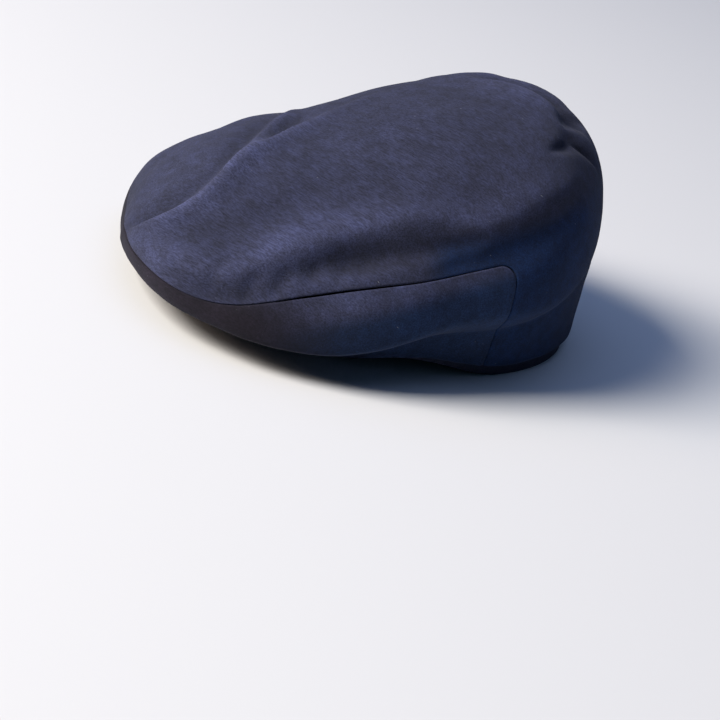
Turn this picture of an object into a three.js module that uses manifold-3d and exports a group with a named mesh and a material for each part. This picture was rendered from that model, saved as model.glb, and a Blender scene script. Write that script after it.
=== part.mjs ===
// Flat cap: a one-piece cloth top, two side panels, a stiff peak and an inner band.
// Millimetres, +Z up. The peak points along -Y and the wearer's left is +X.
// The cap rests by itself on z = 0, with its origin under the middle of its box.
import * as THREE from 'three';
import { mergeVertices } from 'three/addons/utils/BufferGeometryUtils.js';
import Module from 'manifold-3d';

// Driving dimensions
const CLOTH = 2;
const PEAK_THICKNESS = 2.4;
const SEAM_GAP = 0.3;
const COLUMNS = 88;
const RIM = { halfLength: 103, halfWidth: 85, centreY: -7 };
const SWEATBAND = { thickness: 1.5, height: 30, clearance: 0.4 };
const PEAK_HALF_ANGLE = 48;

// Outline: a row for each direction round the crown, in degrees from the front, alike on both sides.
// reach and height place the widest line, shoulder is how square the cloth turns above it, band is the
// height of the upright band over the rim, rim the cloth's lower edge and inner the inner band's.
const OUTLINE = [
  { angle: 0, reach: 145.5, height: 16.5, shoulder: 2.8, band: 2, rim: 1.5, inner: 2.8 },
  { angle: 30, reach: 145.5, height: 16.5, shoulder: 2.8, band: 2, rim: 0.8, inner: 2.3 },
  { angle: 60, reach: 125.5, height: 17, shoulder: 3, band: 8.5, rim: 0.8, inner: 2.3 },
  { angle: 90, reach: 101.5, height: 38, shoulder: 3.5, band: 15, rim: 9.5, inner: 7 },
  { angle: 120, reach: 98.5, height: 47.5, shoulder: 3.7, band: 25, rim: 6.5, inner: 0 },
  { angle: 150, reach: 93.5, height: 56.5, shoulder: 3.6, band: 37, rim: 8.5, inner: 0 },
  { angle: 180, reach: 93.5, height: 62, shoulder: 3.5, band: 40, rim: 9, inner: 0 },
];

// Middle line of the crown from front to back, which falls off to the sides by CROWN_DROOP
const CROWN_LINE = [
  { y: -150, z: 62.5 },
  { y: -105, z: 80.5 },
  { y: -60, z: 88.5 },
  { y: -15, z: 106.5 },
  { y: 40, z: 122.5 },
  { y: 100, z: 132 },
];
const CROWN_DROOP = 22 / 100 ** 2;
const LEAST_RISE = 1.5;

// The cloth leaves the band at BAND_LEAN of the overhang and swells out to the widest line
const BAND_LEAN = 0.25;
const FULL_LEAN_BAND = 8;

// Seam of the side panels seen from the side, with the rounded corner where it turns down at the back
const SEAM = [
  { y: -160, z: 22 },
  { y: -116, z: 24 },
  { y: -75, z: 37.8 },
  { y: -31, z: 52 },
  { y: 18, z: 65.4 },
];
const SEAM_BACK_Y = 26.5;
const SEAM_CORNER_DROP = 11;

// Folds of the crown: the half-widths of each on the left and the right of its path, its height, which is
// negative for a hollow, and its path seen from above
const FOLDS = [
  { name: 'peak ridge', left: 6, right: 9, height: 3.4,
    path: [[14, -144], [23, -138.5], [34, -127.5], [34.5, -113],
      [19.5, -96], [-0.5, -72], [-18, -45], [-29, -24]] },
  { name: 'far branch', left: 5, right: 5, height: 3.2,
    path: [[30, -107], [21, -100], [7, -90.5], [-6, -83.5], [-22, -74.5], [-40, -64], [-54, -56]] },
  { name: 'far pocket', left: 5, right: 5, height: -3,
    path: [[14, -90], [-2, -80], [-16, -71], [-32, -58]] },
  { name: 'far hollow', left: 7, right: 6, height: -2,
    path: [[24, -114], [8, -101], [-11, -89], [-28, -79.5], [-44, -70]] },
  { name: 'far edge bulge', left: 10, right: 10, height: 2,
    path: [[-49, -96], [-56, -78], [-58, -60]] },
  { name: 'nose hollow', left: 9, right: 5, height: -1.6,
    path: [[8, -144], [16, -139], [24, -130], [23, -117], [12, -104]] },
  { name: 'peak dent', left: 14, right: 14, height: -2.4,
    path: [[4, -146], [-20, -144], [-40, -139], [-58, -130]] },
  { name: 'far peak bulge', left: 14, right: 14, height: 1.6,
    path: [[-40, -136], [-58, -120], [-70, -98]] },
  { name: 'front trough', left: 14, right: 12, height: -1.6,
    path: [[36, -136], [51, -121], [58, -103], [56, -82], [46, -60]] },
  { name: 'near ridge', left: 14, right: 8, height: 4.4,
    path: [[64, -128], [79, -107], [80, -92], [78.5, -78], [77, -60], [78, -36], [80, -12], [85, 14]] },
  { name: 'near hollow', left: 7, right: 8, height: -3.8,
    path: [[88.5, -84], [86.5, -68], [87, -56], [89, -42],
      [90.5, -26], [90, -12], [88, 2], [86, 10]] },
  { name: 'near swell', left: 6, right: 6, height: 1.8,
    path: [[92, -84], [93.6, -66], [95, -50], [96.7, -32], [95, -16], [91, -2]] },
  { name: 'seam hollow', left: 9, right: 5, height: -2.8,
    path: [[58, -133], [68, -125], [78, -116.5], [84, -109.5], [89.5, -99], [93, -84]] },
  { name: 'shoulder ridge', left: 12, right: 7, height: 2.4,
    path: [[86, -14], [84, 2], [80, 16], [75, 28], [68, 40], [60, 50], [48, 60]] },
  { name: 'shoulder hollow', left: 7, right: 10, height: -3.4,
    path: [[98, -40], [97, -22], [95, -6], [92, 10], [87, 26], [80, 40], [70, 52], [58, 62]] },
  { name: 'lip swell', left: 9, right: 9, height: 2.2,
    path: [[8, -146], [30, -142], [54, -131], [76, -113], [92, -92]] },
  { name: 'side swell', left: 6, right: 7, height: 0.7,
    path: [[90, -108], [98, -86], [102, -60], [103, -36], [100.5, -10], [97, 10]] },
  { name: 'crown top', left: 14, right: 14, height: 2.4,
    path: [[-50, 0], [-46, 16], [-40, 29], [-32, 40]] },
  { name: 'back ridge', left: 6, right: 14, height: 3,
    path: [[-52, 2], [-22, 22], [-6, 37], [12, 50], [20, 68]] },
  { name: 'back valley', left: 8, right: 7, height: -3.4,
    path: [[-42, 22], [-14, 46], [6, 60], [22, 76]] },
  { name: 'far back bulge', left: 12, right: 12, height: 2.8,
    path: [[-56, 26], [-34, 46], [-16, 58], [-2, 64]] },
  { name: 'back notch', left: 7, right: 7, height: -4.4,
    path: [[4, 74], [12, 64], [20, 58], [28, 54]] },
  { name: 'back edge', left: 10, right: 10, height: -1.2,
    path: [[58, 62], [48, 72], [36, 80], [20, 86]] },
  { name: 'left dart', left: 6, right: 6, height: -2.4,
    path: [[52, 38], [40, 53], [34.5, 58], [33.5, 66], [31, 80]] },
  { name: 'right dart', left: 6, right: 6, height: -2.4,
    path: [[-52, 38], [-40, 53], [-34.5, 58], [-33.5, 66], [-31, 80]] },
];
const FOLD_STEPS = 20;
const FOLD_END_WIDTH = 0.4;

// Places of the rows from the rim up: the share of the band, of the swell above it, and of the crown
const BAND_ROWS = [0, 0.5];
const SWELL_ROWS = [0, 0.25, 0.5, 0.75];
const CROWN_ROWS = [0, 0.06, 0.12, 0.18, 0.24, 0.31, 0.38, 0.46, 0.54, 0.63, 0.72, 0.82, 0.92];
const LIP_ROWS = [0, 0.06, 0.12, 0.2];

const SEAM_CURVE_STEPS = 6;
const CLEAR_OF_CAP = 300;

const CLOTH_FINISH = { color: 0x24273f, roughness: 0.95, metalness: 0 };
const LIP_FINISH = { color: 0x211f2e, roughness: 0.95, metalness: 0 };
const SWEATBAND_FINISH = { color: 0x10142a, roughness: 0.8, metalness: 0 };

const wasm = await Module();
wasm.setup();

// Smooth curve through one column of a table
function curveThrough(rows, along, column) {
  const curve = new THREE.CubicInterpolant(
    rows.map((row) => row[along]), rows.map((row) => row[column]), 1, [0]);
  return (place) => curve.evaluate(place)[0];
}

// The outline's rows with a mirrored neighbour past each end, so that front and back are smooth
const mirroredOutline = [
  { ...OUTLINE.at(1), angle: -OUTLINE.at(1).angle },
  ...OUTLINE,
  { ...OUTLINE.at(-2), angle: 360 - OUTLINE.at(-2).angle },
];
const outlineColumns = Object.keys(OUTLINE[0]).filter((column) => column !== 'angle');
const outlineCurves = outlineColumns.map((column) => curveThrough(mirroredOutline, 'angle', column));
const crownLine = curveThrough(CROWN_LINE, 'y', 'z');

// All outline values in one direction, given in radians from the front
function outlineAt(angle) {
  const degrees = Math.abs(THREE.MathUtils.radToDeg(Math.atan2(Math.sin(angle), Math.cos(angle))));
  const values = outlineColumns.map((column, index) => [column, Math.max(outlineCurves[index](degrees), 0)]);
  return Object.fromEntries(values);
}

function rimPoint(angle, inset, z) {
  const x = Math.sin(angle) / (RIM.halfWidth - inset);
  const y = Math.cos(angle) / (RIM.halfLength - inset);
  const radius = 1 / Math.hypot(x, y);
  return new THREE.Vector3(radius * Math.sin(angle), RIM.centreY - radius * Math.cos(angle), z);
}

// Point of the crown over a place seen from above
function crownPoint(x, y) {
  const outline = outlineAt(Math.atan2(x, -y));
  const share = Math.min(Math.hypot(x, y) / outline.reach, 1);
  const rise = Math.max(crownLine(y) - CROWN_DROOP * x * x - outline.height, LEAST_RISE);
  return new THREE.Vector3(x, y, outline.height + rise * Math.sqrt(1 - share ** outline.shoulder));
}

// Point between the rim and the widest line, at a share of the overhang
function wallPoint(angle, outline, share, z) {
  const rim = rimPoint(angle, 0, z);
  const edge = new THREE.Vector3(outline.reach * Math.sin(angle), -outline.reach * Math.cos(angle), z);
  return rim.lerp(edge, share);
}

function bandPoint(angle, climb) {
  const outline = outlineAt(angle);
  const lean = BAND_LEAN * Math.min(1, outline.band / FULL_LEAN_BAND);
  return wallPoint(angle, outline, lean * climb, outline.rim + outline.band * climb);
}

function swellPoint(angle, climb) {
  const outline = outlineAt(angle);
  const lean = BAND_LEAN * Math.min(1, outline.band / FULL_LEAN_BAND);
  const share = lean + (1 - lean) * Math.sin(Math.PI / 2 * climb);
  const foot = outline.rim + outline.band;
  return wallPoint(angle, outline, share, THREE.MathUtils.lerp(foot, outline.height, climb));
}

function risePoint(angle, climb) {
  const outline = outlineAt(angle);
  const turn = Math.PI / 2 * (1 - (1 - climb) ** (outline.shoulder / 2));
  const radius = outline.reach * Math.cos(turn) ** (2 / outline.shoulder);
  return crownPoint(radius * Math.sin(angle), -radius * Math.cos(angle));
}

// Each fold as short lines on the crown
const foldLines = FOLDS.map(({ path, ...fold }) => {
  const curve = new THREE.SplineCurve(path.map(([x, y]) => new THREE.Vector2(x, y)));
  const points = curve.getPoints(FOLD_STEPS).map(({ x, y }) => crownPoint(x, y));
  return { ...fold, points };
});

// How far the folds push the cloth out at a point; each fold fades and narrows towards its ends
function foldHeight(point) {
  const [nearest, run, gap] = [new THREE.Vector3(), new THREE.Vector3(), new THREE.Vector3()];
  let sum = 0;
  for (const { points, left, right, height } of foldLines) {
    let best = { distance: Infinity };
    for (let step = 0; step < FOLD_STEPS; step += 1) {
      const line = new THREE.Line3(points[step], points[step + 1]);
      const along = line.closestPointToPointParameter(point, true);
      const distance = line.at(along, nearest).distanceTo(point);
      if (distance < best.distance) {
        line.delta(run);
        gap.subVectors(point, nearest);
        const width = run.x * gap.y > run.y * gap.x ? left : right;
        best = { distance, width, place: (step + along) / FOLD_STEPS };
      }
    }
    const fullness = Math.sin(Math.PI * best.place);
    const width = best.width * THREE.MathUtils.lerp(FOLD_END_WIDTH, 1, fullness);
    sum += height * fullness * Math.exp(-((best.distance / width) ** 2));
  }
  return sum;
}

// Triangles of a sheet of rings, with a last single point if the sheet closes over the top
function sheetTriangles(rings, closed) {
  const triangles = [];
  for (let ring = 0; ring < rings - 1; ring += 1) {
    for (let column = 0; column < COLUMNS; column += 1) {
      const next = (column + 1) % COLUMNS;
      const [a, b] = [ring * COLUMNS + column, ring * COLUMNS + next];
      const [c, d] = [a + COLUMNS, b + COLUMNS];
      triangles.push(a, b, d, a, d, c);
    }
  }
  if (closed) {
    const [last, top] = [(rings - 1) * COLUMNS, rings * COLUMNS];
    for (let column = 0; column < COLUMNS; column += 1) {
      triangles.push(last + column, last + (column + 1) % COLUMNS, top);
    }
  }
  return triangles;
}

function sheetNormals(points, triangles) {
  const geometry = new THREE.BufferGeometry().setFromPoints(points);
  geometry.setIndex(triangles);
  geometry.computeVertexNormals();
  const normals = geometry.getAttribute('normal');
  return points.map((_, index) => new THREE.Vector3().fromBufferAttribute(normals, index));
}

// Closed wall between an outer sheet and an inner one with the same triangles
function wallBetween(outer, inner, triangles, rings, closed) {
  const size = outer.length;
  const faces = [...triangles];
  for (let corner = 0; corner < triangles.length; corner += 3) {
    faces.push(triangles[corner] + size, triangles[corner + 2] + size, triangles[corner + 1] + size);
  }
  const closeRing = (start, upwards) => {
    for (let column = 0; column < COLUMNS; column += 1) {
      const [a, b] = [start + column, start + (column + 1) % COLUMNS];
      const [c, d] = [a + size, b + size];
      faces.push(...(upwards ? [a, b, d, a, d, c] : [a, d, b, a, c, d]));
    }
  };
  closeRing(0, false);
  if (!closed) closeRing((rings - 1) * COLUMNS, true);
  const vertProperties = Float32Array.from([...outer, ...inner].flatMap((point) => point.toArray()));
  const mesh = new wasm.Mesh({ numProp: 3, vertProperties, triVerts: Uint32Array.from(faces) });
  return new wasm.Manifold(mesh);
}

// Cloth of one thickness from the rim up over the given crown rows, closed over the top or left open
function clothShell(crownRows, thickness, closed) {
  const points = [];
  const addRings = (rows, pointAt) => {
    for (const climb of rows) {
      for (let column = 0; column < COLUMNS; column += 1) {
        points.push(pointAt(2 * Math.PI * column / COLUMNS, climb));
      }
    }
  };
  addRings(BAND_ROWS, bandPoint);
  addRings(SWELL_ROWS, swellPoint);
  addRings(crownRows, risePoint);
  const rings = BAND_ROWS.length + SWELL_ROWS.length + crownRows.length;
  if (closed) points.push(crownPoint(0, 0));
  const triangles = sheetTriangles(rings, closed);
  const moved = (sheet, distance) => {
    const normals = sheetNormals(sheet, triangles);
    return sheet.map((point, index) => point.clone().addScaledVector(normals[index], distance(point)));
  };
  const outer = moved(points, foldHeight);
  const inner = moved(outer, () => -thickness);
  return wallBetween(outer, inner, triangles, rings, closed);
}

// Upright band inside the rim, following the lower edge that the outline gives it
function sweatbandRing() {
  const outset = PEAK_THICKNESS + SWEATBAND.clearance;
  const rails = (inset) => [0, SWEATBAND.height].flatMap((climb) => (
    Array.from({ length: COLUMNS }, (_, column) => {
      const angle = 2 * Math.PI * column / COLUMNS;
      return rimPoint(angle, inset, outlineAt(angle).inner + climb);
    })));
  const [outer, inner] = [rails(outset), rails(outset + SWEATBAND.thickness)];
  return wallBetween(outer, inner, sheetTriangles(2, false), 2, false);
}

function solidFromGeometry(geometry) {
  geometry.deleteAttribute('normal');
  geometry.deleteAttribute('uv');
  const merged = mergeVertices(geometry);
  const vertProperties = Float32Array.from(merged.getAttribute('position').array);
  const triVerts = Uint32Array.from(merged.getIndex().array);
  return new wasm.Manifold(new wasm.Mesh({ numProp: 3, vertProperties, triVerts }));
}

// Everything under the side seam and before its back end, right across the cap
function underSeam(grow) {
  const shape = new THREE.Shape();
  const seam = SEAM.map(({ y, z }) => new THREE.Vector2(y, z + grow));
  const [front, back] = [seam[0], seam.at(-1)];
  shape.moveTo(front.x, -CLEAR_OF_CAP);
  shape.lineTo(front.x, front.y);
  shape.splineThru(seam.slice(1));
  shape.quadraticCurveTo(SEAM_BACK_Y + grow, back.y, SEAM_BACK_Y + grow, back.y - SEAM_CORNER_DROP);
  shape.lineTo(SEAM_BACK_Y + grow, -CLEAR_OF_CAP);
  const geometry = new THREE.ExtrudeGeometry(
    shape, { depth: CLEAR_OF_CAP, bevelEnabled: false, curveSegments: SEAM_CURVE_STEPS });
  geometry.translate(0, 0, -CLEAR_OF_CAP / 2);
  const across = new THREE.Matrix4().makeBasis(
    new THREE.Vector3(0, 1, 0), new THREE.Vector3(0, 0, 1), new THREE.Vector3(1, 0, 0));
  return solidFromGeometry(geometry.applyMatrix4(across));
}

// Wedge seen from above that holds the peak
function frontWedge(grow) {
  const half = THREE.MathUtils.degToRad(PEAK_HALF_ANGLE);
  const apex = grow / Math.sin(half);
  const reach = CLEAR_OF_CAP * Math.tan(half);
  const shape = new THREE.Shape();
  shape.moveTo(0, apex);
  shape.lineTo(-reach, apex - CLEAR_OF_CAP);
  shape.lineTo(reach, apex - CLEAR_OF_CAP);
  const geometry = new THREE.ExtrudeGeometry(shape, { depth: CLEAR_OF_CAP, bevelEnabled: false });
  return solidFromGeometry(geometry.translate(0, 0, -CLEAR_OF_CAP / 2));
}

// Half of space on the wearer's left (1) or right (-1)
function besideMiddle(side) {
  const geometry = new THREE.BoxGeometry(CLEAR_OF_CAP, 2 * CLEAR_OF_CAP, 2 * CLEAR_OF_CAP);
  return solidFromGeometry(geometry.translate(side * CLEAR_OF_CAP / 2, 0, 0));
}

function addPiece(group, name, solid, finish) {
  const { vertProperties, triVerts } = solid.getMesh();
  const geometry = new THREE.BufferGeometry();
  geometry.setAttribute('position', new THREE.BufferAttribute(vertProperties, 3));
  geometry.setIndex(new THREE.BufferAttribute(triVerts, 1));
  geometry.computeVertexNormals();
  const mesh = new THREE.Mesh(geometry, new THREE.MeshStandardMaterial(finish));
  mesh.name = name;
  group.add(mesh);
}

const cap = new THREE.Group();
const cloth = clothShell(CROWN_ROWS, CLOTH, true);
const belowSeam = cloth.intersect(underSeam(0)).subtract(frontWedge(SEAM_GAP));
const lip = clothShell(LIP_ROWS, PEAK_THICKNESS, false);

addPiece(cap, 'top_panel', cloth.subtract(underSeam(SEAM_GAP)), CLOTH_FINISH);
addPiece(cap, 'side_panel_left', belowSeam.intersect(besideMiddle(1)), CLOTH_FINISH);
addPiece(cap, 'side_panel_right', belowSeam.intersect(besideMiddle(-1)), CLOTH_FINISH);
addPiece(cap, 'peak', lip.intersect(underSeam(0)).intersect(frontWedge(0)), LIP_FINISH);
addPiece(cap, 'sweatband', sweatbandRing(), SWEATBAND_FINISH);

// Bring the middle of the box over the origin
cap.position.y = -new THREE.Box3().setFromObject(cap).getCenter(new THREE.Vector3()).y;

export default cap;
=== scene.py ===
"""Flat cap of brushed navy cloth: fine panels, peak and inner band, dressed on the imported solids.

The form is worked out from the same tables as the solids, with closer seams and finer creases. Lengths are in
millimetres, with the crown's axis at x = y = 0, until a mesh is made; the meshes are in metres in the shared
frame.
"""
import math

import bpy
import numpy as np
from mathutils import Matrix, Vector, noise


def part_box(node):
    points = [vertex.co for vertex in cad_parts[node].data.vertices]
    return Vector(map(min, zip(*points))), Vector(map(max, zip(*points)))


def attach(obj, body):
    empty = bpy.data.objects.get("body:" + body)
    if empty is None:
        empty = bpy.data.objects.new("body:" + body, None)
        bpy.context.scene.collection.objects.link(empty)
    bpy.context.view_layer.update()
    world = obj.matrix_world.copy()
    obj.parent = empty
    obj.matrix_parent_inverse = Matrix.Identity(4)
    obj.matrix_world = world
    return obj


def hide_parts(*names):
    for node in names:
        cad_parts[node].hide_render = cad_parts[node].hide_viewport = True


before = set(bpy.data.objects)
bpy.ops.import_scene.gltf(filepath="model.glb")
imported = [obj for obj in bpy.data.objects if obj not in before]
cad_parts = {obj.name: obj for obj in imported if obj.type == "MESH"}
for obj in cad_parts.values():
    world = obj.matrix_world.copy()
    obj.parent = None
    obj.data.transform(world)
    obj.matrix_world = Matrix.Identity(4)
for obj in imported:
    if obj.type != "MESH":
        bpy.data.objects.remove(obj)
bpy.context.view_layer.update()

MM = 0.001

# Outline round the crown, a column for each direction in degrees from the front
OUTLINE = {
    "angle": [0, 30, 60, 90, 120, 150, 180],
    "reach": [145.5, 145.5, 125.5, 101.5, 98.5, 93.5, 93.5],
    "height": [16.5, 16.5, 17, 38, 47.5, 56.5, 62],
    "shoulder": [2.8, 2.8, 3, 3.5, 3.7, 3.6, 3.5],
    "band": [2, 2, 8.5, 15, 25, 37, 40],
    "rim": [1.5, 0.8, 0.8, 9.5, 6.5, 8.5, 9],
    "inner": [2.8, 2.3, 2.3, 7, 0, 0, 0],
}
RIM = {"half_length": 103, "half_width": 85, "centre_y": -7}
CROWN_LINE = {"y": [-150, -105, -60, -15, 40, 100], "z": [62.5, 80.5, 88.5, 106.5, 122.5, 132]}

# The crown droops to both sides, by 22 mm at 100 mm out, and rises at least a little over the widest line
CROWN_DROOP = 22 / 100 ** 2
LEAST_RISE = 1.5

# The band covers this share of the way out to the widest line, and less where it is lower than this height
BAND_LEAN = 0.25
FULL_LEAN_BAND = 8

# Side seam, seen from the side, and the angles between which its back corner is looked for
SEAM = {"y": [-160, -116, -75, -31, 18], "z": [22, 24, 37.8, 52, 65.4]}
SEAM_BACK_Y = 26.5
SEAM_CORNER_DROP = 11
CORNER_MIDDLE = 0.5
CORNER_ANGLES = (math.radians(60), math.radians(150))

CLOTH = 2.0
PEAK_THICKNESS = 2.4
PEAK_HALF_ANGLE = math.radians(48)
SEAM_GAP = 0.2
JOINT_GAP = 0.04
JOINT_HALF_ANGLE = JOINT_GAP / 2 / OUTLINE["reach"][2]
SWEATBAND = {"thickness": 1.5, "height": 30, "clearance": 0.4}

CROWN_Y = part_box("peak")[0].y / MM + OUTLINE["reach"][0]

# Levels up the cloth: the rim, the top of the band, the widest line and the middle of the crown
BAND_TOP, WIDEST, CROWN_MIDDLE = 1, 2, 3


def smooth_curve(knots, values, at):
    """Cubic through the values, whose slope at each knot is the mean of the chords beside it."""
    knots, values = np.asarray(knots, float), np.asarray(values, float)
    chords = np.diff(values) / np.diff(knots)
    slopes = np.concatenate([chords[:1], (chords[1:] + chords[:-1]) / 2, chords[-1:]])
    at = np.clip(at, knots[0], knots[-1])
    i = np.clip(np.searchsorted(knots, at, side="right") - 1, 0, len(knots) - 2)
    width = knots[i + 1] - knots[i]
    t = (at - knots[i]) / width
    ends = (2 * t ** 3 - 3 * t ** 2 + 1) * values[i] + (3 * t ** 2 - 2 * t ** 3) * values[i + 1]
    return ends + width * ((t ** 3 - 2 * t ** 2 + t) * slopes[i] + (t ** 3 - t ** 2) * slopes[i + 1])


def outline_at(angle):
    """Every outline value at an angle, smooth over the front and the back and alike on both sides."""
    degrees = np.degrees(np.abs(np.arctan2(np.sin(angle), np.cos(angle))))
    rows = OUTLINE["angle"]
    knots = [-rows[1], *rows, 360 - rows[-2]]
    values = {}
    for name, column in OUTLINE.items():
        if name != "angle":
            mirrored = [column[1], *column, column[-2]]
            values[name] = np.maximum(smooth_curve(knots, mirrored, degrees), 0)
    return values


def rim_place(angle, inset):
    """x and y of the rim's oval, taken in by inset."""
    across = np.sin(angle) / (RIM["half_width"] - inset)
    along = np.cos(angle) / (RIM["half_length"] - inset)
    radius = 1 / np.hypot(across, along)
    return radius * np.sin(angle), RIM["centre_y"] - radius * np.cos(angle)


def crown_height(x, y):
    outline = outline_at(np.arctan2(x, -y))
    share = np.minimum(np.hypot(x, y) / outline["reach"], 1)
    top = smooth_curve(CROWN_LINE["y"], CROWN_LINE["z"], y) - CROWN_DROOP * x ** 2
    rise = np.maximum(top - outline["height"], LEAST_RISE)
    return outline["height"] + rise * np.sqrt(1 - share ** outline["shoulder"])


def surface(angle, level):
    """Point of the cloth's outer face at an angle from the front and a level."""
    angle, level = np.broadcast_arrays(np.asarray(angle, float), np.asarray(level, float))
    outline = outline_at(angle)
    band, swell, climb = (np.clip(level - start, 0, 1) for start in (0, BAND_TOP, WIDEST))

    lean = BAND_LEAN * np.minimum(1, outline["band"] / FULL_LEAN_BAND)
    bulge = np.sin(np.pi / 2 * swell)
    out = np.where(level < BAND_TOP, lean * band, lean + (1 - lean) * bulge)
    rim_x, rim_y = rim_place(angle, 0)
    wall_x = rim_x + (outline["reach"] * np.sin(angle) - rim_x) * out
    wall_y = rim_y + (-outline["reach"] * np.cos(angle) - rim_y) * out
    foot = outline["rim"] + outline["band"]
    wall_z = outline["rim"] + outline["band"] * band + (outline["height"] - foot) * swell

    turn = np.pi / 2 * (1 - (1 - climb) ** (outline["shoulder"] / 2))
    radius = outline["reach"] * np.maximum(np.cos(turn), 0) ** (2 / outline["shoulder"])
    crown_x, crown_y = radius * np.sin(angle), -radius * np.cos(angle)
    crown_z = crown_height(crown_x, crown_y)

    on_wall = (level < WIDEST)[..., None]
    wall = np.stack([wall_x, wall_y, wall_z], -1)
    return np.where(on_wall, wall, np.stack([crown_x, crown_y, crown_z], -1))


def bisect(low, high, is_below, steps=40):
    """Places between low and high where is_below turns false."""
    for _ in range(steps):
        middle = (low + high) / 2
        below = is_below(middle)
        low, high = np.where(below, middle, low), np.where(below, high, middle)
    return (low + high) / 2


def seam_height(y, grow):
    """Height of the side seam at y, raised by grow, with the rounded corner at its back end."""
    past = np.clip((y - SEAM["y"][-1]) / (SEAM_BACK_Y + grow - SEAM["y"][-1]), 0, 1)
    drop = SEAM_CORNER_DROP * (1 - np.sqrt(1 - past)) ** 2
    return smooth_curve(SEAM["y"], SEAM["z"], y) + grow - drop


def seam_back(z, grow):
    """y of the seam's back end at a height: the lower half of the corner, then straight down."""
    corner = np.sqrt(np.clip((SEAM["z"][-1] + grow - z) / SEAM_CORNER_DROP, 0, 1))
    run = SEAM_BACK_Y + grow - SEAM["y"][-1]
    return SEAM["y"][-1] + run * (2 * corner - corner ** 2)


def seam_level(angle, grow):
    """Level at which the cloth crosses the seam, in front of the middle of its corner."""
    def is_below(level):
        point = surface(angle, level)
        return point[..., 2] < seam_height(point[..., 1], grow)
    return bisect(np.zeros_like(angle), np.full_like(angle, CROWN_MIDDLE), is_below)


def corner_place(grow):
    """Angle and level of the middle of the seam's rounded corner, on the wearer's left."""
    target = seam_back(SEAM["z"][-1] + grow - SEAM_CORNER_DROP * CORNER_MIDDLE ** 2, grow)
    def is_before(angle):
        return surface(angle, seam_level(angle, grow))[..., 1] < target
    low, high = CORNER_ANGLES
    angle = bisect(np.array([low]), np.array([high]), is_before)
    return angle[0], seam_level(angle, grow)[0]


def back_seam_angle(level, grow):
    """Angle of the seam below the middle of its corner, at a level."""
    def is_before(angle):
        point = surface(angle, level)
        return point[..., 1] < seam_back(point[..., 2], grow)
    low, high = CORNER_ANGLES
    return bisect(np.full_like(level, low), np.full_like(level, high), is_before)


LINE_STEPS = 400
COLUMN_STEPS = 60
LEAST_LENGTH = 1e-9


def crowded(count, crowding=0.5):
    """count places from 0 to 1, closer together at both ends."""
    even = np.linspace(0, 1, count)
    return even - crowding * np.sin(2 * np.pi * even) / (2 * np.pi)


def spaced(angle, level, places):
    """A line of angles and levels, taken again at the given shares of its length on the cloth."""
    steps = np.linalg.norm(np.diff(surface(angle, level), axis=0), axis=1)
    lengths = np.concatenate([[0], np.cumsum(steps)])
    at = places * lengths[-1]
    return np.stack([np.interp(at, lengths, angle), np.interp(at, lengths, level)], -1)


def patch(bottom, top, front, back, places):
    """Angles and levels over a four-sided patch.

    Its angles blend from the four edges, and its rows lie at the given shares of the cloth's length up each
    column.
    """
    u, v = np.linspace(0, 1, len(bottom))[:, None], places[None]
    across = (1 - v) * bottom[:, :1] + v * top[:, :1]
    along = (1 - u) * front[None, :, 0] + u * back[None, :, 0]
    corners = ((1 - u) * ((1 - v) * bottom[0, 0] + v * top[0, 0])
               + u * ((1 - v) * bottom[-1, 0] + v * top[-1, 0]))
    climb = np.linspace(0, 1, COLUMN_STEPS)[:, None]
    columns = [spaced(*((1 - climb) * low + climb * high).T, places) for low, high in zip(bottom, top)]
    levels = np.stack(columns)[..., 1]
    levels[0], levels[-1] = front[:, 1], back[:, 1]
    return np.stack([across + along - corners, levels], -1)


def grid_quads(ids):
    """Quads of a grid of vertex numbers."""
    return np.stack([ids[:-1, :-1], ids[1:, :-1], ids[1:, 1:], ids[:-1, 1:]], -1).reshape(-1, 4)


def grid_edge(ids):
    """Vertex numbers round a grid, anticlockwise."""
    return np.concatenate([ids[:-1, 0], ids[-1, :-1], ids[:0:-1, -1], ids[0, :0:-1]])


def vertex_normals(points, quads):
    diagonals = points[quads[:, 2]] - points[quads[:, 0]], points[quads[:, 3]] - points[quads[:, 1]]
    faces = np.cross(*diagonals)
    normals = np.zeros_like(points)
    for corner in range(4):
        np.add.at(normals, quads[:, corner], faces)
    return normals / np.maximum(np.linalg.norm(normals, axis=1), LEAST_LENGTH)[:, None]


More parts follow.
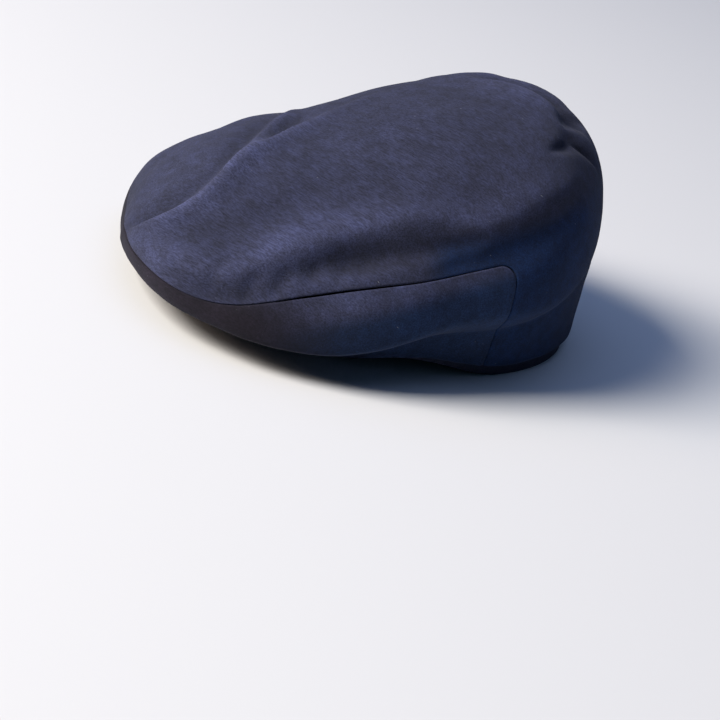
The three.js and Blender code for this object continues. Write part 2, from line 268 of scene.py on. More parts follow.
# Folds of the cloth: the path of each seen from above, its half-widths on the left and the right of that
# path and its height, negative for a hollow
FOLDS = [
    {"name": "peak ridge", "left": 6, "right": 9, "height": 3.4,
     "path": [(14, -144), (23, -138.5), (34, -127.5), (34.5, -113), (19.5, -96), (-0.5, -72), (-18, -45),
              (-29, -24)]},
    {"name": "far branch", "left": 5, "right": 5, "height": 3.2,
     "path": [(30, -107), (21, -100), (7, -90.5), (-6, -83.5), (-22, -74.5), (-40, -64), (-54, -56)]},
    {"name": "far pocket", "left": 5, "right": 5, "height": -3,
     "path": [(14, -90), (-2, -80), (-16, -71), (-32, -58)]},
    {"name": "far hollow", "left": 7, "right": 6, "height": -2,
     "path": [(24, -114), (8, -101), (-11, -89), (-28, -79.5), (-44, -70)]},
    {"name": "far edge bulge", "left": 10, "right": 10, "height": 2,
     "path": [(-49, -96), (-56, -78), (-58, -60)]},
    {"name": "nose hollow", "left": 9, "right": 5, "height": -1.6,
     "path": [(8, -144), (16, -139), (24, -130), (23, -117), (12, -104)]},
    {"name": "peak dent", "left": 14, "right": 14, "height": -2.4,
     "path": [(4, -146), (-20, -144), (-40, -139), (-58, -130)]},
    {"name": "far peak bulge", "left": 14, "right": 14, "height": 1.6,
     "path": [(-40, -136), (-58, -120), (-70, -98)]},
    {"name": "front trough", "left": 14, "right": 12, "height": -1.6,
     "path": [(36, -136), (51, -121), (58, -103), (56, -82), (46, -60)]},
    {"name": "near ridge", "left": 14, "right": 8, "height": 4.4,
     "path": [(64, -128), (79, -107), (80, -92), (78.5, -78), (77, -60), (78, -36), (80, -12), (85, 14)]},
    {"name": "near hollow", "left": 7, "right": 8, "height": -3.8,
     "path": [(88.5, -84), (86.5, -68), (87, -56), (89, -42), (90.5, -26), (90, -12), (88, 2), (86, 10)]},
    {"name": "near swell", "left": 6, "right": 6, "height": 1.8,
     "path": [(92, -84), (93.6, -66), (95, -50), (96.7, -32), (95, -16), (91, -2)]},
    {"name": "seam hollow", "left": 9, "right": 5, "height": -2.8,
     "path": [(58, -133), (68, -125), (78, -116.5), (84, -109.5), (89.5, -99), (93, -84)]},
    {"name": "shoulder ridge", "left": 12, "right": 7, "height": 2.4,
     "path": [(86, -14), (84, 2), (80, 16), (75, 28), (68, 40), (60, 50), (48, 60)]},
    {"name": "shoulder hollow", "left": 7, "right": 10, "height": -3.4,
     "path": [(98, -40), (97, -22), (95, -6), (92, 10), (87, 26), (80, 40), (70, 52), (58, 62)]},
    {"name": "lip swell", "left": 9, "right": 9, "height": 2.2,
     "path": [(8, -146), (30, -142), (54, -131), (76, -113), (92, -92)]},
    {"name": "side swell", "left": 6, "right": 7, "height": 0.7,
     "path": [(90, -108), (98, -86), (102, -60), (103, -36), (100.5, -10), (97, 10)]},
    {"name": "crown top", "left": 14, "right": 14, "height": 2.4,
     "path": [(-50, 0), (-46, 16), (-40, 29), (-32, 40)]},
    {"name": "back ridge", "left": 6, "right": 14, "height": 3,
     "path": [(-52, 2), (-22, 22), (-6, 37), (12, 50), (20, 68)]},
    {"name": "back valley", "left": 8, "right": 7, "height": -3.4,
     "path": [(-42, 22), (-14, 46), (6, 60), (22, 76)]},
    {"name": "far back bulge", "left": 12, "right": 12, "height": 2.8,
     "path": [(-56, 26), (-34, 46), (-16, 58), (-2, 64)]},
    {"name": "back notch", "left": 7, "right": 7, "height": -4.4,
     "path": [(4, 74), (12, 64), (20, 58), (28, 54)]},
    {"name": "back edge", "left": 10, "right": 10, "height": -1.2,
     "path": [(58, 62), (48, 72), (36, 80), (20, 86)]},
    {"name": "left dart", "left": 6, "right": 6, "height": -2.4,
     "path": [(52, 38), (40, 53), (34.5, 58), (33.5, 66), (31, 80)]},
    {"name": "right dart", "left": 6, "right": 6, "height": -2.4,
     "path": [(-52, 38), (-40, 53), (-34.5, 58), (-33.5, 66), (-31, 80)]},
]

# Creases too fine for the solids
FOLDS += [
    {"name": "ridge crest", "left": 3.5, "right": 5, "height": 2,
     "path": [(14, -143.5), (23, -138.5), (34.5, -127), (34.5, -113), (19.5, -96), (-0.5, -72), (-18, -45)]},
    {"name": "nose crease", "left": 2.5, "right": 2.5, "height": -1.6,
     "path": [(14, -142.5), (19, -139), (25.5, -133), (30, -126)]},
    {"name": "left dimple", "left": 3, "right": 3, "height": -1.5,
     "path": [(50, 41), (42, 51), (35, 58)]},
    {"name": "left dart seam", "left": 1.8, "right": 1.8, "height": -1.6,
     "path": [(35, 57), (34, 64), (33, 70), (32, 76)]},
    {"name": "right dimple", "left": 3, "right": 3, "height": -1.5,
     "path": [(-50, 41), (-42, 51), (-35, 58)]},
    {"name": "right dart seam", "left": 1.8, "right": 1.8, "height": -1.6,
     "path": [(-35, 57), (-34, 64), (-33, 70), (-32, 76)]},
]

# Puckers that run up from the near seam, by their place on it and their depth
PUCKERS = [
    {"x": 92.4, "y": -73, "depth": 1},
    {"x": 91.8, "y": -86.6, "depth": 1.2},
    {"x": 94, "y": -59.5, "depth": 0.8},
    {"x": 95, "y": -51, "depth": 0.8},
    {"x": 89.6, "y": -100.7, "depth": 1.1},
    {"x": 78, "y": -114, "depth": 1},
]
PUCKER_SPAN = (1.02, 0.97, 0.92)
PUCKER_WIDTH = 3.5
for pucker in PUCKERS:
    pucker_path = [(pucker["x"] * share, pucker["y"] * share) for share in PUCKER_SPAN]
    FOLDS.append({"name": "pucker", "left": PUCKER_WIDTH, "right": PUCKER_WIDTH,
                  "height": -pucker["depth"], "path": pucker_path})

# Points along each fold, and the share of its width that it keeps at its ends
FOLD_STEPS = 28
FOLD_END_WIDTH = 0.4

# Uneven cloth: the size of the lumps and how far they stand out
LUMPS = [{"size": 38, "height": 0.9}, {"size": 13, "height": 0.25}]


def nearest_on_line(points, line):
    """Distance of each point from a line of points, its place along it from 0 to 1, and its side."""
    best = np.full(len(points), np.inf)
    place = np.zeros(len(points))
    side = np.zeros(len(points))
    for step, (start, end) in enumerate(zip(line[:-1], line[1:])):
        run = end - start
        along = np.clip((points - start) @ run / (run @ run), 0, 1)
        gap = points - start - along[:, None] * run
        distance = np.linalg.norm(gap, axis=1)
        nearer = distance < best
        best = np.where(nearer, distance, best)
        place = np.where(nearer, (step + along) / (len(line) - 1), place)
        side = np.where(nearer, run[0] * gap[:, 1] - run[1] * gap[:, 0], side)
    return best, place, side


def fold_height(points):
    """How far the folds push the cloth out; each fold fades and narrows towards its ends."""
    total = np.zeros(len(points))
    for fold in FOLDS:
        knots = np.arange(len(fold["path"]))
        at = np.linspace(0, knots[-1], FOLD_STEPS + 1)
        x, y = (smooth_curve(knots, [p[axis] for p in fold["path"]], at) for axis in (0, 1))
        line = np.stack([x, y, crown_height(x, y)], -1)
        distance, place, side = nearest_on_line(points, line)
        fullness = np.sin(np.pi * place)
        width = np.where(side > 0, fold["left"], fold["right"])
        width = width * (FOLD_END_WIDTH + (1 - FOLD_END_WIDTH) * fullness)
        total += fold["height"] * fullness * np.exp(-(distance / width) ** 2)
    return total


def lump_height(points):
    total = np.zeros(len(points))
    for lump in LUMPS:
        total += lump["height"] * np.array([noise.noise(Vector(p)) for p in points / lump["size"]])
    return total


# Step in angle and level over which the cloth's slope is taken
SLOPE_STEP = 0.002


def cloth_normals(places):
    """Outward normals of the unfolded cloth at angles and levels, upright in the middle of the crown."""
    angle, level = places.T
    round_step = surface(angle + SLOPE_STEP, level) - surface(angle - SLOPE_STEP, level)
    up_step = surface(angle, level + SLOPE_STEP) - surface(angle, level - SLOPE_STEP)
    normals = np.cross(round_step, up_step)
    normals[level > CROWN_MIDDLE - SLOPE_STEP] = 0, 0, 1
    return normals / np.linalg.norm(normals, axis=1)[:, None]


def cloth_points(points, places, folds):
    """The outer face of the cloth with its folds and lumps."""
    height = folds + lump_height(points)
    return points + height[:, None] * cloth_normals(places)


# Steps round a rounded edge, and how square it is, where 1 is round
EDGE_STEPS = 6
EDGE_POWER = 0.5
FOLD_ATTRIBUTE = "fold_height"
SHARP_ANGLE = math.radians(60)


def shell(outer, quads, edges, cut, thickness):
    """Cloth of one thickness under an outer face, with rounded edges along its closed edge lines.

    The edge is square at the vertices in cut.
    """
    normals = vertex_normals(outer, quads)
    inner = outer - thickness * normals
    points = [outer, inner]
    faces = [quads, quads[:, ::-1] + len(outer)]
    size = 2 * len(outer)
    for edge in edges:
        is_cut = np.isin(edge, cut)
        after, before = np.roll(edge, -1), np.roll(edge, 1)
        end = is_cut & (np.roll(is_cut, -1) != np.roll(is_cut, 1))
        tangent = (outer[np.where(end & np.roll(is_cut, -1), edge, after)]
                   - outer[np.where(end & np.roll(is_cut, 1), edge, before)])
        tangent /= np.linalg.norm(tangent, axis=1)[:, None]
        out = np.cross(tangent, normals[edge])
        middle = (outer[edge] + inner[edge]) / 2
        bulge = np.where(is_cut & ~end, 0, thickness / 2)[:, None]
        rows = [edge]
        for turn in np.linspace(0, np.pi, EDGE_STEPS + 1)[1:-1]:
            across = np.sign(np.cos(turn)) * np.abs(np.cos(turn)) ** EDGE_POWER
            above = thickness / 2 * across * normals[edge]
            points.append(middle + above + bulge * np.sin(turn) ** EDGE_POWER * out)
            rows.append(size + np.arange(len(edge)))
            size += len(edge)
        rows.append(edge + len(outer))
        for upper, lower in zip(rows[:-1], rows[1:]):
            faces.append(np.stack([upper, lower, np.roll(lower, -1), np.roll(upper, -1)], -1))
    return np.concatenate(points), np.concatenate(faces)


def make_piece(name, points, quads, folds, material, node):
    """A mesh in the shared frame that stands for a node. Its first vertices keep their folds' height."""
    mesh = bpy.data.meshes.new(name)
    placed = (points + np.array([0, CROWN_Y, 0])) * MM
    mesh.from_pydata(placed.tolist(), [], quads.tolist())
    mesh.shade_smooth()
    mesh.set_sharp_from_angle(angle=SHARP_ANGLE)
    mesh.materials.append(material)
    heights = np.zeros(len(points))
    heights[:len(folds)] = folds
    mesh.attributes.new(FOLD_ATTRIBUTE, "FLOAT", "POINT").data.foreach_set("value", heights)
    piece = bpy.data.objects.new(name, mesh)
    bpy.context.scene.collection.objects.link(piece)
    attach(piece, "root")
    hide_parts(node)
    return piece


# Top panel: a round grid over the crown down to the seam, and a skirt that closes the back
RINGS = 88
SKIRT_ROWS = 45
TOP_GROW = CLOTH / 2 + SEAM_GAP / 2
RING_CROWDING = 0.4

# Vertices that each ring of a square grid has more than the ring inside it
RING_GROWTH = 8


def crown_grid():
    """Ring number and share of the way round for each vertex of a square grid pulled out round."""
    i, j = np.meshgrid(np.arange(-RINGS, RINGS + 1), np.arange(-RINGS, RINGS + 1), indexing="ij")
    ring = np.maximum(np.abs(i), np.abs(j))
    size = RING_GROWTH * np.maximum(ring, 1)
    at_side = [j == -ring, i == ring, j == ring, i == -ring]
    share = np.select(at_side, [i / size, 1 / 4 + j / size, 1 / 2 - i / size, 3 / 4 - j / size])
    share = np.where(share > 1 / 2, share - 1, share)
    return ring, share


def hem_level(angle, radius):
    """Level at which a rounded hem of that radius starts, so that it ends at the rim."""
    return radius / outline_at(angle)["band"]


def top_panel():
    corner_angle, corner_level = corner_place(TOP_GROW)
    ring, share = crown_grid()
    columns = RING_GROWTH * RINGS
    corner_column = round(columns * corner_angle / (2 * np.pi))
    corner_share = corner_column / columns
    size = np.abs(share)
    behind = corner_angle + (size - corner_share) / (1 / 2 - corner_share) * (np.pi - corner_angle)
    angle = np.sign(share) * np.where(size < corner_share, size / corner_share * corner_angle, behind)

    from_edge = 1 - ring / RINGS
    reach = 1 - (from_edge - RING_CROWDING * np.sin(np.pi * from_edge) / np.pi)
    in_front = np.abs(angle) < corner_angle
    edge_level = np.where(in_front, seam_level(np.abs(angle), TOP_GROW), corner_level)
    level = CROWN_MIDDLE - reach * (CROWN_MIDDLE - edge_level)
    places = np.stack([angle, level], -1).reshape(-1, 2)
    ids = np.arange(len(places)).reshape(ring.shape)
    quads = grid_quads(ids)

    # Numbers of the vertices round the edge of the grid, from the front by way of the wearer's left
    edge = grid_edge(ids)
    order = np.argsort((share.reshape(-1)[edge] + 1) % 1, kind="stable")
    edge = edge[order]

    joined = edge[corner_column:columns - corner_column + 1]
    top_angles = angle.reshape(-1)[joined]
    top_angles = np.where(top_angles < 0, top_angles + 2 * np.pi, top_angles)
    top = np.stack([top_angles, np.full_like(top_angles, corner_level)], -1)
    line = np.linspace(hem_level(np.array([corner_angle]), CLOTH / 2)[0], corner_level, LINE_STEPS)
    left = spaced(back_seam_angle(line, TOP_GROW), line, crowded(SKIRT_ROWS))
    left[-1] = top[0]
    right = left * [-1, 1] + [2 * np.pi, 0]
    along = (top_angles - top_angles[0]) / (top_angles[-1] - top_angles[0])
    bottom_angles = left[0, 0] + along * (right[0, 0] - left[0, 0])
    bottom = np.stack([bottom_angles, hem_level(bottom_angles, CLOTH / 2)], -1)
    bottom[[0, -1]] = left[0], right[0]
    skirt = patch(bottom, top, left, right, crowded(SKIRT_ROWS))
    skirt_places = skirt[:, :-1].reshape(-1, 2)
    skirt_ids = len(places) + np.arange(len(skirt_places)).reshape(len(joined), SKIRT_ROWS - 1)
    skirt_ids = np.concatenate([skirt_ids, joined[:, None]], 1)

    places = np.concatenate([places, skirt_places])
    quads = np.concatenate([quads, grid_quads(skirt_ids)])
    front_edge = np.concatenate([edge[columns - corner_column:], edge[:corner_column]])
    hem_edge = np.concatenate([skirt_ids[0, ::-1], skirt_ids[1:, 0], skirt_ids[-1, 1:-1]])
    return places, quads, [np.concatenate([front_edge, hem_edge])], []


# Side panels and peak: patches between the rim and the seam
SIDE_COLUMNS, SIDE_ROWS = 110, 52
PEAK_COLUMNS, PEAK_ROWS = 160, 44
SIDE_GROW = -TOP_GROW


def side_panel(side):
    """Panel on the wearer's left (1) or right (-1)."""
    corner_angle, corner_level = corner_place(SIDE_GROW)
    front_angle = PEAK_HALF_ANGLE + JOINT_HALF_ANGLE
    angles = np.linspace(front_angle, corner_angle, LINE_STEPS)
    top = spaced(angles, seam_level(angles, SIDE_GROW), crowded(SIDE_COLUMNS))
    low = hem_level(np.array([front_angle, corner_angle]), CLOTH / 2)
    line = np.linspace(low[0], top[0, 1], LINE_STEPS)
    front = spaced(np.full(LINE_STEPS, front_angle), line, crowded(SIDE_ROWS))
    line = np.linspace(low[1], corner_level, LINE_STEPS)
    back = spaced(back_seam_angle(line, SIDE_GROW), line, crowded(SIDE_ROWS))
    back[-1] = top[-1]
    angles = np.linspace(front_angle, back[0, 0], LINE_STEPS)
    bottom = spaced(angles, hem_level(angles, CLOTH / 2), crowded(SIDE_COLUMNS))
    bottom[-1] = back[0]
    places = patch(bottom, top, front, back, crowded(SIDE_ROWS)) * [side, 1]
    ids = np.arange(SIDE_COLUMNS * SIDE_ROWS).reshape(SIDE_COLUMNS, SIDE_ROWS)
    return places[::side].reshape(-1, 2), grid_quads(ids), [grid_edge(ids)], ids[0 if side > 0 else -1]


def peak():
    half = PEAK_HALF_ANGLE - JOINT_HALF_ANGLE
    angles = np.linspace(-half, half, LINE_STEPS)
    top = spaced(angles, seam_level(np.abs(angles), SIDE_GROW), crowded(PEAK_COLUMNS))
    bottom = spaced(angles, hem_level(angles, PEAK_THICKNESS / 2), crowded(PEAK_COLUMNS))
    line = np.linspace(bottom[0, 1], top[0, 1], LINE_STEPS)
    front = spaced(np.full(LINE_STEPS, -half), line, crowded(PEAK_ROWS))
    places = patch(bottom, top, front, front * [-1, 1], crowded(PEAK_ROWS))
    ids = np.arange(PEAK_COLUMNS * PEAK_ROWS).reshape(PEAK_COLUMNS, PEAK_ROWS)
    return places.reshape(-1, 2), grid_quads(ids), [grid_edge(ids)], ids[[0, -1]]


SWEATBAND_COLUMNS, SWEATBAND_ROWS = 360, 22


def sweatband():
    angles = np.linspace(0, 2 * np.pi, SWEATBAND_COLUMNS, endpoint=False)
    radius = SWEATBAND["thickness"] / 2
    climbs = radius + crowded(SWEATBAND_ROWS) * (SWEATBAND["height"] - 2 * radius)
    x, y = rim_place(angles, PEAK_THICKNESS + SWEATBAND["clearance"])
    z = outline_at(angles)["inner"][:, None] + climbs
    points = np.stack([np.broadcast_to(x[:, None], z.shape), np.broadcast_to(y[:, None], z.shape), z], -1)
    ids = np.arange(z.size).reshape(z.shape)
    closed = np.concatenate([ids, ids[:1]])
    return points.reshape(-1, 3), grid_quads(closed), [ids[:, 0], ids[::-1, -1]]


def add_node(tree, kind, settings=None, **inputs):
    """A shader node with its settings, whose inputs are values or other nodes' outputs."""
    node = tree.nodes.new(kind)
    for name, value in (settings or {}).items():
        setattr(node, name, value)
    for name, value in inputs.items():
        socket = node.inputs[int(name[1:])] if name[1:].isdigit() else node.inputs[name.replace("_", " ")]
        if isinstance(value, bpy.types.NodeSocket):
            tree.links.new(value, socket)
        else:
            socket.default_value = value
    return node


def add_noise(tree, size, detail, roughness, turn=(0, 0, 0), seed=(0, 0, 0)):
    """Noise whose grain has a size in millimetres along each turned axis."""
    place = add_node(tree, "ShaderNodeTexCoord").outputs["Object"]
    turned = add_node(tree, "ShaderNodeMapping", Vector=place, Rotation=turn, Location=seed)
    scaled = add_node(tree, "ShaderNodeMapping", Vector=turned.outputs[0], Scale=[1 / (MM * s) for s in size])
    grain = add_node(tree, "ShaderNodeTexNoise", Vector=scaled.outputs[0], Scale=1.0,
                     Detail=detail, Roughness=roughness)
    return grain.outputs[0]


def add_range(tree, value, low, high, new_low, new_high):
    node = add_node(tree, "ShaderNodeMapRange", {"interpolation_type": "SMOOTHSTEP"},
                    Value=value, From_Min=low, From_Max=high, To_Min=new_low, To_Max=new_high)
    return node.outputs[0]


def add_mix(tree, factor, first, second):
    node = add_node(tree, "ShaderNodeMix", {"data_type": "RGBA"}, _0=factor, _6=first, _7=second)
    return node.outputs[2]


def add_math(tree, first, second, operation="ADD"):
    return add_node(tree, "ShaderNodeMath", {"operation": operation}, _0=first, _1=second).outputs[0]


def add_scaled(tree, colour, scale):
    """A colour made lighter or darker."""
    node = add_node(tree, "ShaderNodeVectorMath", {"operation": "SCALE"}, Vector=colour, Scale=scale)
    return node.outputs[0]


def new_material(name, settings):
    """A material with its node tree and its main shader, which has those settings."""
    material = bpy.data.materials.new(name)
    material.use_nodes = True
    shader = material.node_tree.nodes["Principled BSDF"]
    for key, value in settings.items():
        shader.inputs[key].default_value = value
    return material, material.node_tree, shader


CLOTH_SHADER = {
    "Roughness": 0.95, "Specular IOR Level": 0.2,
    "Sheen Weight": 0.06, "Sheen Roughness": 0.6, "Sheen Tint": (0.62, 0.66, 0.9, 1),
}
TAPE_SHADER = {"Roughness": 0.8, "Specular IOR Level": 0.3}
CLOTH_BUMP = {"Strength": 0.5, "Distance": 0.3 * MM}
TAPE_BUMP = {"Strength": 0.5, "Distance": 0.2 * MM}

# Noise in the cloth: the size of its grain in millimetres along the turned axes, its detail and roughness,
# the turn of its axes and where it starts
NAP_TURN = tuple(math.radians(a) for a in (0, 0, -35))
LINT_TURN = tuple(math.radians(a) for a in (20, -35, 110))
CLOTH_NOISE = {
    "cloud": {"size": (30, 22, 22), "detail": 2.0, "roughness": 0.5,
              "turn": NAP_TURN, "seed": (0.5, 0.2, 0.6)},
    "mottle": {"size": (9, 5, 5), "detail": 3.0, "roughness": 0.6, "turn": NAP_TURN},
    "nap": {"size": (3.6, 0.6, 0.6), "detail": 2.0, "roughness": 0.6,
            "turn": NAP_TURN, "seed": (0.3, 0.1, 0.2)},
    "grain": {"size": (0.9, 0.5, 0.5), "detail": 1.0, "roughness": 0.5,
              "turn": NAP_TURN, "seed": (0.7, 0.5, 0.1)},
    "lint": {"size": (3.5, 0.7, 0.7), "detail": 0.0, "roughness": 0.5,
             "turn": LINT_TURN, "seed": (0.2, 0.9, 0.4)},
}
TAPE_NOISE = {"size": (0.6, 0.6, 6), "detail": 1.0, "roughness": 0.5}

# How each noise counts: the values between which it works and what they become
CLOTH_RANGES = {
    "cloud": (0.3, 0.7, 0.9, 1.1),
    "mottle": (0.3, 0.7, 0.82, 1.18),
    "nap": (0.25, 0.75, 0.6, 1.4),
    "grain": (0.2, 0.8, -0.16, 0.16),
    "lint": (0.86, 0.92, 0, 0.8),
}
TAPE_RANGE = (0.25, 0.75, 0.75, 1.25)
COOL_RANGE = (0.3, 0.7, 0, 1)
NAP_RELIEF = 0.7

# Painted shade: a dark bluish tone in place of the shade, under a line that climbs to the back: the height of
# that line at y = 0, its slope, how softly the tone changes, from which y it starts, between which y it turns
# from its first tone to its second, and those tones. Lengths are in metres.
TOP_PAINTED_SHADE = {
    "z": 0.0652, "slope": 0.3, "soft": (-0.007, 0.006), "starts": (0.002, 0.018), "turns": (0.08, 0.115),
    "tones": ((0.0055, 0.0205, 0.072), (0.0036, 0.0125, 0.044)),
}
SIDE_PAINTED_SHADE = {
    "z": 0.0443, "slope": 0.37, "soft": (-0.005, 0.005), "starts": (-0.12, -0.08), "turns": (-0.045, 0.005),
    "tones": ((0.0036, 0.009, 0.027), (0.0068, 0.0165, 0.047)),
}

# Painted light and shade along y: how much lighter or darker the cloth is painted at the front and at the
# back, and where that changes, in metres
TOP_PAINTED_LIGHTNESS = {"front": 1.0, "back": 0.85, "turns": (-0.07, 0.01)}
SIDE_PAINTED_LIGHTNESS = {"front": 0.95, "back": 1.35, "turns": (-0.06, 0.0)}

# Painted shade, brownish, on the low front of the peak and side panels: the heights and the y over which it
# fades out, in metres
PAINTED_LIP_SHADE_Z = (0.022, 0.054)
PAINTED_LIP_SHADE_Y = (-0.075, -0.025)

# Painted highlight on the folds and painted shade in the hollows: how much lighter the cloth is painted for
# each millimetre that a fold stands out, the least and the most that this makes of the tone, and how much of
# it is taken off under the painted shade
FOLD_PAINTED_LIGHT = {"each_mm": 0.16, "least": 0.66, "most": 1.9, "off_painted_shade": 0.6}

CLOTH_TONES = {
    "cool": (0.0215, 0.0245, 0.0535),
    "warm": (0.0225, 0.0248, 0.05),
    # The lip tone is painted brownish shade for the low front edge
    "lip": (0.0086, 0.0062, 0.0112),
    "lint": (0.15, 0.16, 0.19),
}
TAPE_TONE = (0.012, 0.016, 0.04)


def opaque(tone):
    return (*tone, 1)


def painted_fold_light(tree, depth):
    """Painted highlight on the folds and painted shade in the hollows, flatter under the painted shade."""
    fold = add_node(tree, "ShaderNodeAttribute", {"attribute_name": FOLD_ATTRIBUTE}).outputs["Fac"]
    tone = add_math(tree, add_math(tree, fold, FOLD_PAINTED_LIGHT["each_mm"], "MULTIPLY"), 1)
    tone = add_math(tree, tone, FOLD_PAINTED_LIGHT["most"], "MINIMUM")
    tone = add_math(tree, tone, FOLD_PAINTED_LIGHT["least"], "MAXIMUM")
    off = add_math(tree, depth, FOLD_PAINTED_LIGHT["off_painted_shade"], "MULTIPLY")
    flatter = add_math(tree, add_math(tree, 1, tone, "SUBTRACT"), off, "MULTIPLY")
    return add_math(tree, tone, flatter)


def brushed_cloth(name, painted_lightness, painted_shade, painted_lip_shade):
    """Brushed wool with painted shade, a dark bluish tone below a line that climbs to the back, painted
    highlight on the folds and painted shade in the hollows, with short streaks of nap, a fine grain and a few
    pale fibres."""
    material, tree, shader = new_material(name, CLOTH_SHADER)
    tones = {key: opaque(tone) for key, tone in CLOTH_TONES.items()}
    noises = {key: add_noise(tree, **row) for key, row in CLOTH_NOISE.items()}
    ranges = {key: add_range(tree, noises[key], *row) for key, row in CLOTH_RANGES.items()}
    texture_place = add_node(tree, "ShaderNodeTexCoord").outputs["Object"]
    place = add_node(tree, "ShaderNodeSeparateXYZ", Vector=texture_place).outputs

    worn = add_mix(tree, add_range(tree, noises["mottle"], *COOL_RANGE), tones["warm"], tones["cool"])
    # Painted shade: depth is how much of the dark bluish tone stands in for shade, below a line that climbs
    # to the back
    line = add_math(tree, add_math(tree, place["Y"], painted_shade["slope"], "MULTIPLY"), painted_shade["z"])
    depth = add_range(tree, add_math(tree, place["Z"], line, "SUBTRACT"), *painted_shade["soft"], 1, 0)
    depth = add_math(tree, depth, add_range(tree, place["Y"], *painted_shade["starts"], 0, 1), "MULTIPLY")
    first, second = (opaque(tone) for tone in painted_shade["tones"])
    painted_shade_tone = add_mix(tree, add_range(tree, place["Y"], *painted_shade["turns"], 0, 1), first, second)
    colour = add_mix(tree, depth, worn, painted_shade_tone)
    # Painted brownish shade on the low front of the peak and side panels
    if painted_lip_shade:
        low = add_range(tree, place["Z"], *PAINTED_LIP_SHADE_Z, 1, 0)
        ahead = add_range(tree, place["Y"], *PAINTED_LIP_SHADE_Y, 1, 0)
        colour = add_mix(tree, add_math(tree, low, ahead, "MULTIPLY"), colour, tones["lip"])

    # Painted light and shade: the cloth lighter or darker towards the front and the back
    painted_lightness_along_y = add_range(tree, place["Y"], *painted_lightness["turns"], painted_lightness["front"], painted_lightness["back"])
    patches = add_math(tree, ranges["cloud"], ranges["mottle"], "MULTIPLY")
    fibres = add_math(tree, ranges["nap"], ranges["grain"])
    texture = add_math(tree, fibres, patches, "MULTIPLY")
    # Painted highlight on the folds and painted shade in the hollows, with the painted light and shade along
    # y
    painted_light = add_math(tree, painted_fold_light(tree, depth), painted_lightness_along_y, "MULTIPLY")
    shaded = add_scaled(tree, colour, add_math(tree, texture, painted_light, "MULTIPLY"))
    linted = add_mix(tree, ranges["lint"], shaded, tones["lint"])
    tree.links.new(linted, shader.inputs["Base Color"])

    height = add_math(tree, add_math(tree, noises["nap"], NAP_RELIEF, "MULTIPLY"), noises["grain"])
    bump = add_node(tree, "ShaderNodeBump", Height=height, **CLOTH_BUMP)
    tree.links.new(bump.outputs[0], shader.inputs["Normal"])
    return material


def ribbed_tape(name):
    """Plain woven tape with fine upright ribs."""
    material, tree, shader = new_material(name, TAPE_SHADER)
    thread = add_noise(tree, **TAPE_NOISE)
    shaded = add_scaled(tree, TAPE_TONE, add_range(tree, thread, *TAPE_RANGE))
    tree.links.new(shaded, shader.inputs["Base Color"])
    bump = add_node(tree, "ShaderNodeBump", Height=thread, **TAPE_BUMP)
    tree.links.new(bump.outputs[0], shader.inputs["Normal"])
    return material


# Both cloths carry painted shade, painted light and shade along y and painted light on the folds; the side
# cloth also has the painted brown shade at the front
top_cloth = brushed_cloth("top_cloth", TOP_PAINTED_LIGHTNESS, TOP_PAINTED_SHADE, painted_lip_shade=False)
side_cloth = brushed_cloth("side_cloth", SIDE_PAINTED_LIGHTNESS, SIDE_PAINTED_SHADE, painted_lip_shade=True)
tape = ribbed_tape("band_tape")


def dress(name, form, thickness, material):
    """A piece of folded cloth in place of a node."""
    places, quads, edges, cut = form
    points = surface(*places.T)
    folds = fold_height(points)
    points, quads = shell(cloth_points(points, places, folds), quads, edges, cut, thickness)
    return make_piece(name + "_cloth", points, quads, folds, material, name)


def dress_band(name):
    points, quads, edges = sweatband()
    points, quads = shell(points, quads, edges, [], SWEATBAND["thickness"])
    return make_piece(name + "_tape", points, quads, [], tape, name)


top = dress("top_panel", top_panel(), CLOTH, top_cloth)
left = dress("side_panel_left", side_panel(1), CLOTH, side_cloth)
right = dress("side_panel_right", side_panel(-1), CLOTH, side_cloth)
front = dress("peak", peak(), PEAK_THICKNESS, side_cloth)
band = dress_band("sweatband")

# Camera at the photograph's angle, with its roll in degrees
CAMERA = {
    "place": (826.8, -289.3, 364.6), "target": (33.7, -19.0, -20.1), "roll": 14.85,
    "lens": 91.1, "sensor": 36,
}

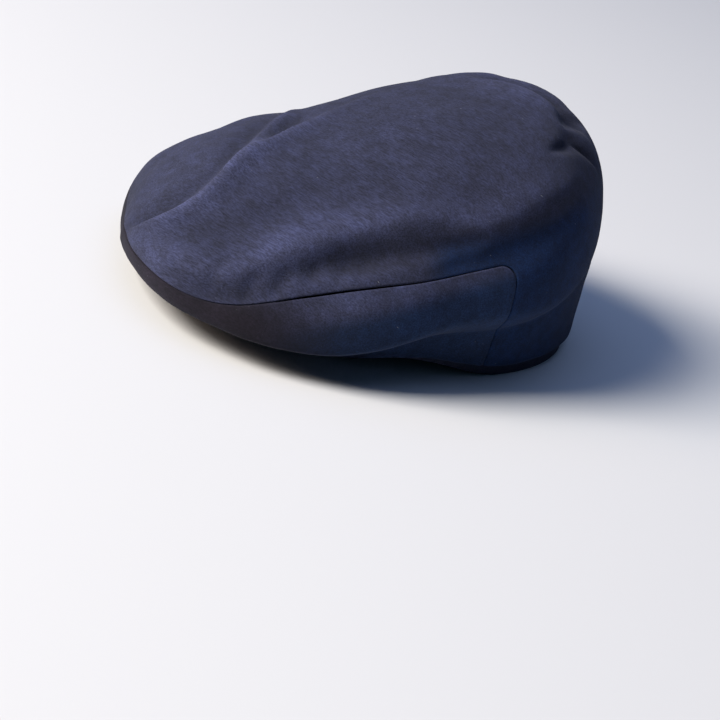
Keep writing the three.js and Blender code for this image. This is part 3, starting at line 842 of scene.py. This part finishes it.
# Floor, lights and surroundings, in metres and watts
FLOOR_SIZE = 8
FLOOR_SHADER = {"Base Color": (0.66, 0.66, 0.66, 1), "Roughness": 0.9}
LIGHTS = [
    {"name": "key", "place": (0, -2.2, 2.04), "size": 1.4, "power": 137, "colour": (1, 0.97, 0.91)},
    {"name": "front", "place": (-0.4, -2.6, 1.5), "size": 1.4, "power": 36, "colour": (1, 0.8, 0.65)},
    {"name": "sky", "place": (-0.6, 0.0, 3.2), "size": 4.8, "power": 52, "colour": (0.42, 0.56, 1)},
]
WORLD = {"Color": (0.3, 0.6, 1, 1), "Strength": 0.05}


def add_camera():
    place, target = (Vector(CAMERA[key]) + Vector((0, CROWN_Y, 0)) for key in ("place", "target"))
    ahead = (target - place).normalized()
    level = ahead.cross(Vector((0, 0, 1))).normalized()
    upright = level.cross(ahead)
    roll = math.radians(CAMERA["roll"])
    right = level * math.cos(roll) + upright * math.sin(roll)
    up = upright * math.cos(roll) - level * math.sin(roll)
    data = bpy.data.cameras.new("camera")
    data.lens = CAMERA["lens"]
    data.sensor_width = CAMERA["sensor"]
    camera = bpy.data.objects.new("camera", data)
    turn = Matrix((right, up, -ahead)).transposed().to_4x4()
    camera.matrix_world = Matrix.Translation(place * MM) @ turn
    bpy.context.scene.collection.objects.link(camera)
    bpy.context.scene.camera = camera


def add_floor():
    bpy.ops.mesh.primitive_plane_add(size=FLOOR_SIZE)
    floor = bpy.context.object
    floor.name = "floor"
    floor.data.materials.append(new_material("pale_floor", FLOOR_SHADER)[0])


def add_area(name, place, size, power, colour):
    data = bpy.data.lights.new(name, "AREA")
    data.size = size
    data.energy = power
    data.color = colour
    light = bpy.data.objects.new(name, data)
    light.location = place
    light.rotation_euler = (-Vector(place)).to_track_quat("-Z", "Y").to_euler()
    bpy.context.scene.collection.objects.link(light)


def add_world():
    world = bpy.data.worlds.new("studio")
    world.use_nodes = True
    background = world.node_tree.nodes["Background"]
    for key, value in WORLD.items():
        background.inputs[key].default_value = value
    bpy.context.scene.world = world


add_camera()
add_floor()
for light in LIGHTS:
    add_area(**light)
add_world()
bpy.context.scene.view_settings.view_transform = "Standard"
